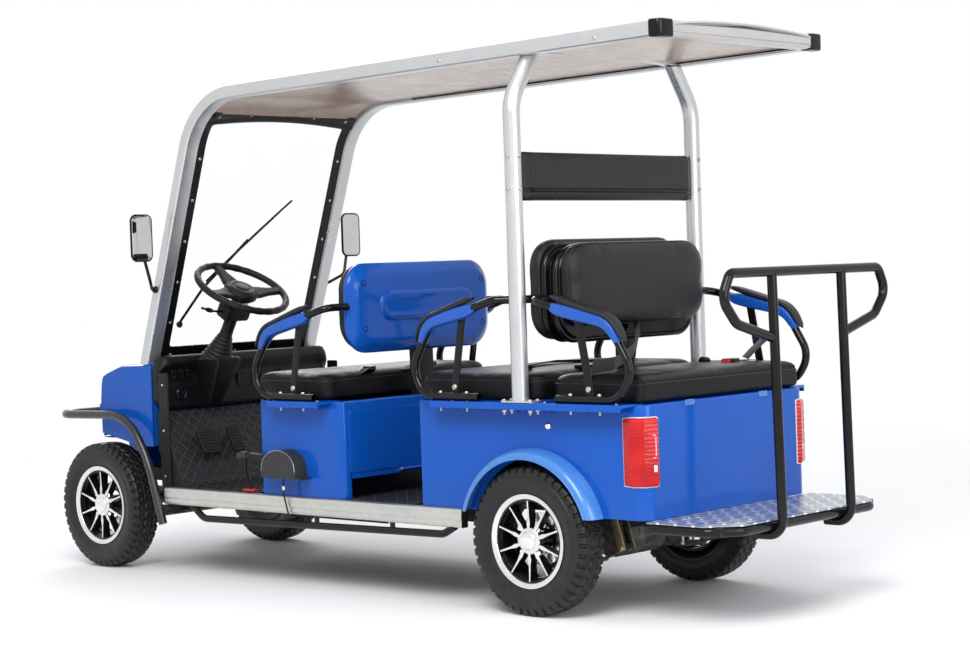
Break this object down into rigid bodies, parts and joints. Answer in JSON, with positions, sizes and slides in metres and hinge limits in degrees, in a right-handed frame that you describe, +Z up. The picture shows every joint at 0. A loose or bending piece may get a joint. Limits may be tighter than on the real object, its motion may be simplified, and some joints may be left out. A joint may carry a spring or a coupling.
{
  "type": "electric golf cart",
  "caption": "Open electric golf cart with a bench seat facing forward in front, a back-to-back pair of seats behind, a bent aluminium roof frame, windshield and rear step.",
  "frame": {"origin": "on the ground under the middle of the cart's length and width", "axes": "+X to the cart's left side, +Y to its rear, +Z up; it faces -Y"},
  "size_m": [1.164, 3.2405, 1.83],
  "materials": {
    "blue_paint": "gloss blue paint",
    "black_tube": "gloss black powder coat",
    "black_frame": "satin black paint",
    "black_plastic": "fine moulded grain",
    "black_leatherette": "grained leatherette",
    "roof_aluminium": "satin anodised",
    "sill_aluminium": "satin extruded",
    "step_plate": "dark chequer plate",
    "floor_mat": "black quilted mat",
    "clear_glass": "clear",
    "clear_lens": "clear lens",
    "red_lens": "red lens",
    "tyre_rubber": "moulded rubber",
    "rim_alloy": "black with machined faces",
    "dark_steel": "dark painted and plated steel",
    "black_rubber": "cable sheath"
  },
  "bodies": {
    "chassis": {"frame_rails": "black_frame", "cross_members": "black_frame", "floor_deck": "floor_mat", "sills": "sill_aluminium", "side_bars": "black_tube", "front_seat_box": "blue_paint", "rear_body": "blue_paint", "wheel_liners": "black_plastic", "middle_cushion": "black_leatherette", "front_backrest_shell": "blue_paint", "front_backrest_pad": "black_leatherette", "middle_backrest": "black_leatherette", "rear_backrest": "black_leatherette", "backrest_frames": "black_plastic", "front_back_bracket": "black_frame", "front_armrests": "black_tube", "middle_armrests": "black_tube", "rear_armrests": "black_tube", "armrest_pads": "black_plastic", "roof_sides": "roof_aluminium", "roof_panel": "roof_aluminium", "roof_beams": "roof_aluminium", "roof_posts": "roof_aluminium", "headrest_bar": "black_leatherette", "windshield_frame": "black_plastic", "windshield_glass": "clear_glass", "wiper": "black_plastic", "mirrors": "black_plastic", "front_cowl": "blue_paint", "dashboard": "black_plastic", "side_trims": "black_plastic", "bumper_bar": "black_tube", "rear_step": "step_plate", "rear_handrail": "black_tube", "tail_lamps": "red_lens", "head_lamps": "clear_lens", "pedals": "black_plastic", "parking_brake": "dark_steel", "brake_cable": "black_rubber", "battery_block": "black_plastic", "front_axle": "dark_steel", "rear_axle": "dark_steel", "rear_springs": "dark_steel", "front_springs": "dark_steel"},
    "knuckle_left": {"knuckle_left": "dark_steel"},
    "knuckle_right": {"knuckle_right": "dark_steel"},
    "tie_rod": {"tie_rod": "dark_steel"},
    "steering_wheel": {"steering_wheel": "black_plastic"},
    "front_cushion": {"front_cushion": "black_leatherette"},
    "rear_cushion": {"rear_cushion": "black_leatherette"},
    "seat_box_door": {"seat_box_door": "blue_paint"},
    "wheel_front_left": {"tyre_front_left": "tyre_rubber", "rim_front_left": "rim_alloy"},
    "wheel_front_right": {"tyre_front_right": "tyre_rubber", "rim_front_right": "rim_alloy"},
    "wheel_rear_left": {"tyre_rear_left": "tyre_rubber", "rim_rear_left": "rim_alloy"},
    "wheel_rear_right": {"tyre_rear_right": "tyre_rubber", "rim_rear_right": "rim_alloy"}
  },
  "joints": [
    {"name": "steer_left", "type": "hinge", "parent": "chassis", "child": "knuckle_left", "pos_m": [0.322, -1.3425, 0.2375], "axis": [0, 0, 1], "range_deg": [-30, 30]},
    {"name": "steer_right", "type": "hinge", "parent": "chassis", "child": "knuckle_right", "pos_m": [-0.322, -1.3425, 0.2375], "axis": [0, 0, 1], "range_deg": [-30, 30]},
    {"name": "tie_rod_swing", "type": "hinge", "parent": "knuckle_left", "child": "tie_rod", "pos_m": [0.322, -1.2325, 0.2375], "axis": [0, 0, 1], "range_deg": [-30, 30]},
    {"name": "steering_wheel_turn", "type": "hinge", "parent": "chassis", "child": "steering_wheel", "pos_m": [0.2, -0.78512, 1.05], "axis": [0, 0.5105, 0.8599], "range_deg": [-450, 450]},
    {"name": "front_cushion_lid", "type": "hinge", "parent": "chassis", "child": "front_cushion", "pos_m": [0, -0.4705, 0.6583], "axis": [1, 0, 0], "range_deg": [0, 78]},
    {"name": "rear_cushion_lid", "type": "hinge", "parent": "chassis", "child": "rear_cushion", "pos_m": [0, 1.2735, 0.6743], "axis": [-1, 0, 0], "range_deg": [0, 75]},
    {"name": "seat_box_door_hinge", "type": "hinge", "parent": "chassis", "child": "seat_box_door", "pos_m": [0, -0.02479, 0.4005], "axis": [-1, 0, 0], "range_deg": [0, 90]},
    {"name": "wheel_front_left_spin", "type": "hinge", "parent": "knuckle_left", "child": "wheel_front_left", "pos_m": [0.42, -1.3425, 0.2375], "axis": [1, 0, 0], "continuous": true},
    {"name": "wheel_front_right_spin", "type": "hinge", "parent": "knuckle_right", "child": "wheel_front_right", "pos_m": [-0.42, -1.3425, 0.2375], "axis": [1, 0, 0], "continuous": true},
    {"name": "wheel_rear_left_spin", "type": "hinge", "parent": "chassis", "child": "wheel_rear_left", "pos_m": [0.42, 0.8355, 0.2375], "axis": [1, 0, 0], "continuous": true},
    {"name": "wheel_rear_right_spin", "type": "hinge", "parent": "chassis", "child": "wheel_rear_right", "pos_m": [-0.42, 0.8355, 0.2375], "axis": [1, 0, 0], "continuous": true}
  ],
  "couplings": [
    {"joint": "steer_right", "follows": "steer_left", "ratio": 1},
    {"joint": "tie_rod_swing", "follows": "steer_left", "ratio": -1},
    {"joint": "steering_wheel_turn", "follows": "steer_left", "ratio": 15}
  ]
}
